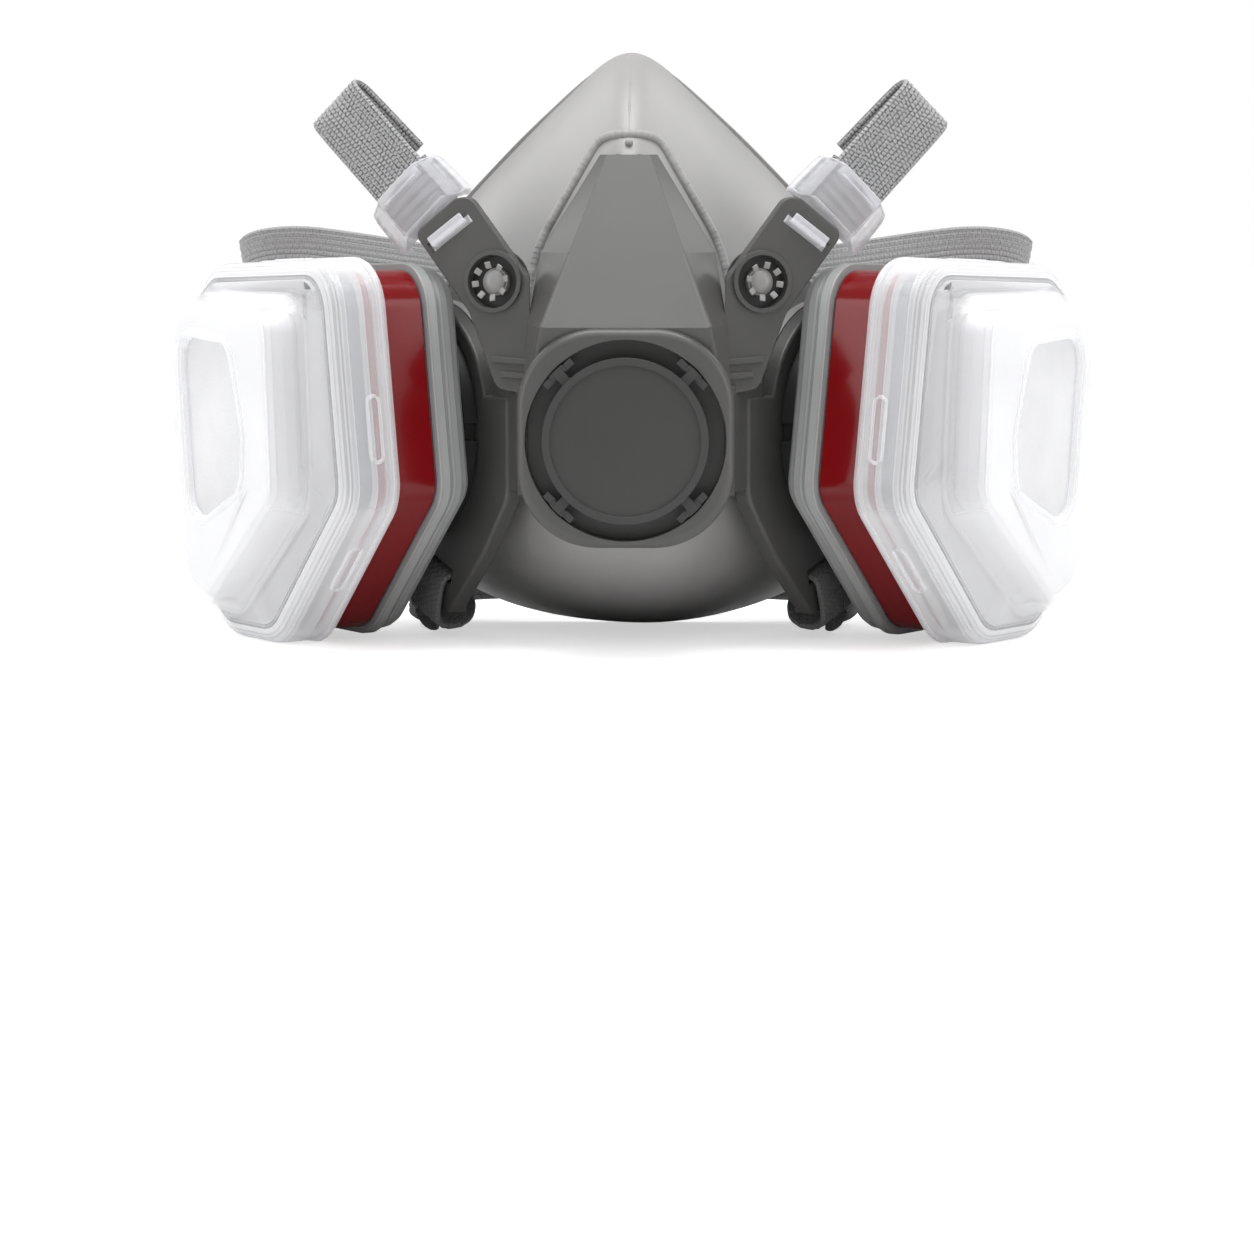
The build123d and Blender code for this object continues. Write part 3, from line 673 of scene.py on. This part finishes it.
for level in levels:
    loop = []
    for x, w in section:
        wing = min(max((abs(x) - 6.2) / 2.0, 0.0), 1.0)
        low_end, high_end = 6.9 * (1 - wing) + 5.2 * wing, 17.4 * (1 - wing) + 16.6 * wing
        share = (level - levels[0]) / (levels[-1] - levels[0])
        y = low_end + (high_end - low_end) * share
        pinch = 1.0 - 0.05 * (2 * share - 1) ** 8 * wing
        flare = 1.0 + 0.06 * (1 - share) * wing
        loop.append(BUCKLE @ Vector((x * pinch * flare * MM, y * MM, w * MM)))
    loops.append(loop)
buckle, _ = stacked(loops)
sharp = [e for e in buckle.edges if len(e.link_faces) == 2 and e.calc_face_angle(0) > radians(40)]
bmesh.ops.bevel(buckle, geom=sharp, offset=0.45 * MM, segments=3, profile=0.5, affect="EDGES",
                material=-1, clamp_overlap=True)


def bar(place, size, centre, round_by):
    """A rounded bar in a frame, in millimetres."""
    solid = bmesh.new()
    bmesh.ops.create_cube(solid, size=1.0)
    bmesh.ops.scale(solid, vec=[s * MM for s in size], verts=solid.verts[:])
    bmesh.ops.bevel(solid, geom=solid.edges[:], offset=round_by * MM, segments=3, profile=0.5,
                    affect="EDGES", material=-1)
    bmesh.ops.translate(solid, vec=[c * MM for c in centre], verts=solid.verts[:])
    bmesh.ops.transform(solid, matrix=place, verts=solid.verts[:])
    return solid


join_into(buckle, bar(BUCKLE, (17.6, 3.0, 1.6), (0, 10.8, -7.4), 0.6))
join_into(buckle, bar(ARM, (9.4, 5.4, 1.6), (-2.2, 16.7, -3.55), 0.4))
join_into(buckle, bar(ARM, (9.4, 1.25, 5.6), (-2.2, 14.65, -1.5), 0.4))
join_into(buckle, bar(ARM, (9.4, 2.4, 0.8), (-2.2, 15.3, 1.0), 0.3))
join_into(buckle, bar(BUCKLE, (9.4, 0.5, 0.5), (0, 15.0, -1.15), 0.15))
place_pair("buckle_body", buckle, buckle_plastic, "buckle", ["strap_buckle"])

# ---------------------------------------------------------------- arm studs
# A domed stud pushed through each arm's round hole, held by a ring of small teeth.
stud_plastic = moulded("stud_plastic", (0.3, 0.295, 0.29), 0.22)
stud_dark = moulded("stud_dark", (0.03, 0.03, 0.03), 0.35)


def spun(profile, place, steps=40):
    """A turned shape from a profile given as radius and height in millimetres."""
    solid = bmesh.new()
    points = [solid.verts.new((r * MM, 0, h * MM)) for r, h in profile]
    edges = [solid.edges.new(pair) for pair in zip(points, points[1:])]
    bmesh.ops.spin(solid, geom=points + edges, axis=(0, 0, 1), cent=(0, 0, 0),
                   angle=2 * pi, steps=steps, use_merge=True)
    bmesh.ops.remove_doubles(solid, verts=solid.verts[:], dist=1e-7)
    bmesh.ops.recalc_face_normals(solid, faces=solid.faces[:])
    bmesh.ops.transform(solid, matrix=place, verts=solid.verts[:])
    return solid


collar = spun(((0, -3.15), (7.1, -3.15), (7.1, -2.2), (0, -2.2)), ARM)
place_pair("stud_collar", collar, stud_dark, "mask", [])
stud = spun(((0, -2.3), (3.0, -2.3), (3.0, -1.3), (2.9, -0.9), (2.6, -0.75), (2.45, -0.2),
             (1.9, 0.2), (1.0, 0.42), (0, 0.5)), ARM)
for k in range(8):
    turn = 2 * pi * (k + 0.4) / 8
    place = ARM @ Matrix.Rotation(turn, 4, "Z") @ Matrix.Rotation(radians(-24), 4, "Y")
    join_into(stud, bar(place, (1.5, 1.3, 0.4), (3.9, 0, 0.1), 0.12))
place_pair("stud_body", stud, stud_plastic, "mask", ["arm_stud"])

# ---------------------------------------------------------------- elastic webbing
# Knitted elastic straps with lengthwise ribs and firm edges: two upper straps
# folded double through the buckles, one round the back, and two at the neck.
def build_knit():
    """Shader group: rows of knitted stitches from a surface attribute, with painted shade darkening the
    gaps between them.
    """
    group = bpy.data.node_groups.new("knit", "ShaderNodeTree")
    for socket, kind, value in (
        ("Light", "NodeSocketColor", (0.5, 0.5, 0.5, 1)),
        ("Gap Shade", "NodeSocketColor", (0.05, 0.05, 0.05, 1)),
        ("Gap", "NodeSocketFloat", 0.16),
    ):
        group.interface.new_socket(socket, in_out="INPUT", socket_type=kind).default_value = value
    group.interface.new_socket("Colour", in_out="OUTPUT", socket_type="NodeSocketColor")
    group.interface.new_socket("Normal", in_out="OUTPUT", socket_type="NodeSocketVector")
    make, link = group.nodes.new, group.links.new
    given, result = make("NodeGroupInput"), make("NodeGroupOutput")
    laid = make("ShaderNodeAttribute")
    laid.attribute_name = "laid"
    stir = make("ShaderNodeTexNoise")
    stir.inputs["Scale"].default_value = 0.55
    link(laid.outputs["Vector"], stir.inputs["Vector"])
    nudge = make("ShaderNodeVectorMath")
    nudge.operation = "MULTIPLY_ADD"
    nudge.inputs[1].default_value = (0.55, 0.25, 0.0)
    link(stir.outputs["Color"], nudge.inputs[0])
    link(laid.outputs["Vector"], nudge.inputs[2])
    stitch = make("ShaderNodeTexBrick")
    stitch.inputs["Scale"].default_value = 1.0
    stitch.inputs["Brick Width"].default_value = 0.95
    stitch.inputs["Row Height"].default_value = 1.12
    stitch.inputs["Mortar Smooth"].default_value = 0.6
    link(nudge.outputs[0], stitch.inputs["Vector"])
    link(given.outputs["Gap"], stitch.inputs["Mortar Size"])
    fuzz = make("ShaderNodeTexNoise")
    fuzz.inputs["Scale"].default_value = 2.6
    fuzz.inputs["Detail"].default_value = 4.0
    link(laid.outputs["Vector"], fuzz.inputs["Vector"])
    depth = make("ShaderNodeMath")
    depth.operation = "MULTIPLY"
    link(stitch.outputs["Fac"], depth.inputs[0])
    spread = make("ShaderNodeMapRange")
    spread.inputs["From Min"].default_value, spread.inputs["From Max"].default_value = 0.35, 0.6
    link(fuzz.outputs["Fac"], spread.inputs["Value"])
    link(spread.outputs[0], depth.inputs[1])
    # painted shade: the mix turns the gaps between stitches towards the dark colour
    colour = make("ShaderNodeMix")
    colour.data_type = "RGBA"
    link(depth.outputs[0], colour.inputs["Factor"])
    link(given.outputs["Light"], colour.inputs["A"])
    link(given.outputs["Gap Shade"], colour.inputs["B"])
    link(colour.outputs["Result"], result.inputs["Colour"])
    bump = make("ShaderNodeBump")
    bump.invert = True
    bump.inputs["Strength"].default_value = 0.6
    bump.inputs["Distance"].default_value = 0.0003
    link(stitch.outputs["Fac"], bump.inputs["Height"])
    link(bump.outputs[0], result.inputs["Normal"])
    return group


knit = build_knit()


def webbing_of(name, light, dark, gap):
    material = bpy.data.materials.new(name)
    material.use_nodes = True
    tree = material.node_tree
    surface = tree.nodes.new("ShaderNodeGroup")
    surface.node_tree = knit
    surface.inputs["Light"].default_value = (light, light, light * 1.01, 1.0)
    # the dark colour is painted shade in the gaps between stitches
    surface.inputs["Gap Shade"].default_value = (dark, dark, dark, 1.0)
    surface.inputs["Gap"].default_value = gap
    shader = tree.nodes["Principled BSDF"]
    shader.inputs["Roughness"].default_value = 0.75
    shader.inputs["Sheen Weight"].default_value = 0.25
    tree.links.new(surface.outputs["Colour"], shader.inputs["Base Color"])
    tree.links.new(surface.outputs["Normal"], shader.inputs["Normal"])
    return material


WEB_T, RIBS = 1.3, 11


def smooth_run(stations, gap):
    """Stations of (place, across) in millimetres, rounded off and evenly spaced."""
    places = [Vector(place) for place, _ in stations]
    sides = [Vector(across).normalized() for _, across in stations]
    for _ in range(2):  # corner cutting keeps the ends
        fresh, turned = [places[0]], [sides[0]]
        for i in range(len(places) - 1):
            for share in (0.25, 0.75):
                fresh.append(places[i].lerp(places[i + 1], share))
                turned.append(sides[i].lerp(sides[i + 1], share).normalized())
        places, sides = fresh + [places[-1]], turned + [sides[-1]]
    lengths = [0.0]
    for before, after in zip(places, places[1:]):
        lengths.append(lengths[-1] + (after - before).length)
    count = max(int(lengths[-1] / gap), 2)
    result, at = [], 0
    for k in range(count + 1):
        want = lengths[-1] * k / count
        while at < len(places) - 2 and lengths[at + 1] < want:
            at += 1
        share = (want - lengths[at]) / max(lengths[at + 1] - lengths[at], 1e-9)
        share = min(max(share, 0.0), 1.0)
        result.append((places[at].lerp(places[at + 1], share),
                       sides[at].lerp(sides[at + 1], share), want))
    return result


def webbing(stations, width, gap):
    """Ribbed webbing through stations; each vertex knows where it lies on the strap."""
    run = smooth_run(stations, gap)
    steps_across = RIBS * 4
    loops, marks = [], []
    for i, (place, across, along_mm) in enumerate(run):
        ahead = run[min(i + 1, len(run) - 1)][0] - run[max(i - 1, 0)][0]
        across = (across - ahead * across.dot(ahead) / ahead.length_squared).normalized()
        out = ahead.normalized().cross(across)
        loop, mark = [], []
        for face in (1, -1):
            for k in range(steps_across + 1):
                x = (k / steps_across - 0.5) * face * width
                rib = abs(sin(pi * RIBS * (k / steps_across)))
                pick = 0.08 * (1 if (i + int(k / 4)) % 2 else -1) * rib
                edge = min(1.0, (width / 2 - abs(x)) / 0.5 + 0.25)
                height = face * edge * (WEB_T / 2 - 0.16 + 0.16 * rib ** 0.6 + pick)
                loop.append((place + across * x + out * height) * MM)
                mark.append((along_mm, x + 40 * face, 0.0))
        loops.append(loop)
        marks.append(mark)
    shape, rings = stacked(loops)
    shape.verts.index_update()
    order = [[vert.index for vert in ring] for ring in rings]
    laid = shape.verts.layers.float_vector.new("laid")
    shape.verts.ensure_lookup_table()
    for ring, mark in zip(order, marks):
        for index, spot in zip(ring, mark):
            shape.verts[index][laid] = spot
    return shape


strap_grey = webbing_of("strap_grey", 0.42, 0.03, 0.2)
strap_mid = webbing_of("strap_mid", 0.36, 0.16, 0.1)
# the neck straps' webbing is coloured darker as painted shade, for the shadow they lie in behind the
# mask
strap_dark_painted_shade = webbing_of("strap_dark_painted_shade", 0.17, 0.05, 0.1)
UPPER_STRAP = ((19.4, -9.5), (10.7, -9.5), (8.5, -9.1), (7.4, -8.1), (7.1, -7.3), (7.5, -6.4),
               (8.7, -5.6), (10.7, -5.4), (17.0, -5.4), (28.0, -5.4), (39.0, -5.4), (41.4, -6.3),
               (42.3, -8.6), (41.4, -11.0), (39.0, -12.0), (23.0, -14.0))
stations = [((BUCKLE @ Vector((0, y * MM, w * MM))) / MM, BUCKLE.to_3x3() @ Vector((1, 0, 0)))
            for y, w in UPPER_STRAP]
place_pair("upper_webbing", webbing(stations, 14.0, 0.55), strap_grey, "buckle",
           ["upper_strap"])

REAR_STRAP = (((-38.5, -4, 80), 1.2), ((-44, 6, 80.5), 1.0), ((-53, 19, 81.3), 0.7),
              ((-65.5, 34, 82.6), 0.3), ((-77, 42.5, 83.8), 0), ((-86.5, 47, 82.8), 0),
              ((-91, 52, 80), 0), ((-87.5, 57, 75), 0), ((-74, 59.5, 69), 0),
              ((-50, 57.5, 64), 0), ((-25, 54.5, 60.5), 0), ((0, 53.5, 59), 0))
half_run = [((x, y + BACK, z), (0, lean, 1)) for (x, y, z), lean in REAR_STRAP]
whole_run = half_run + [((-x, y, z), side) for (x, y, z), side in reversed(half_run[:-1])]
rear = webbing(whole_run, 14.0, 0.8)
place_piece("rear_webbing", rear, strap_mid, "mask", ["rear_strap"])
rear.free()

NECK = PORT @ Matrix.Translation((4.8 * MM, -30.6 * MM, 0)) @ Matrix.Rotation(radians(-18.0), 4, "Z")
NECK_FOLD = ((-9, -10.6), (-2.8, -10.6), (-0.9, -10), (-0.2, -8.6), (-0.2, -6), (-0.9, -4.6),
             (-2.8, -4.1), (-10, -4.1), (-11.8, -5), (-12.6, -7.6), (-12.4, -9.6))
NECK_RUN = (((-41.3, 14.4, 6.0), 0.2), ((-44.4, 20.4, 7.4), 0.6), ((-49.6, 26.5, 8.8), 0.9),
            ((-51, 35.5, 9.6), 1), ((-47, 45, 10.2), 1), ((-37, 50.5, 10.6), 1), ((-24, 52.9, 10.8), 1),
            ((-15, 53.4, 11), 1), ((-12, 53.4, 11), 1), ((-10.5, 54, 11), 1), ((-9.9, 55.5, 11), 1),
            ((-10.5, 57, 11), 1), ((-12, 57.6, 11), 1), ((-15, 57.4, 11), 1), ((-22, 56.9, 11), 1))
neck_across = NECK.to_3x3() @ Vector((1, 0, 0))
stations = [((NECK @ Vector((0, b * MM, w * MM))) / MM, neck_across) for b, w in NECK_FOLD]
stations += [((x, y + BACK, z), neck_across * (1 - stood) + UP * stood)
             for (x, y, z), stood in NECK_RUN]
place_pair("neck_webbing", webbing(stations, 13.4, 0.7), strap_dark_painted_shade, "mask", ["neck_strap"])
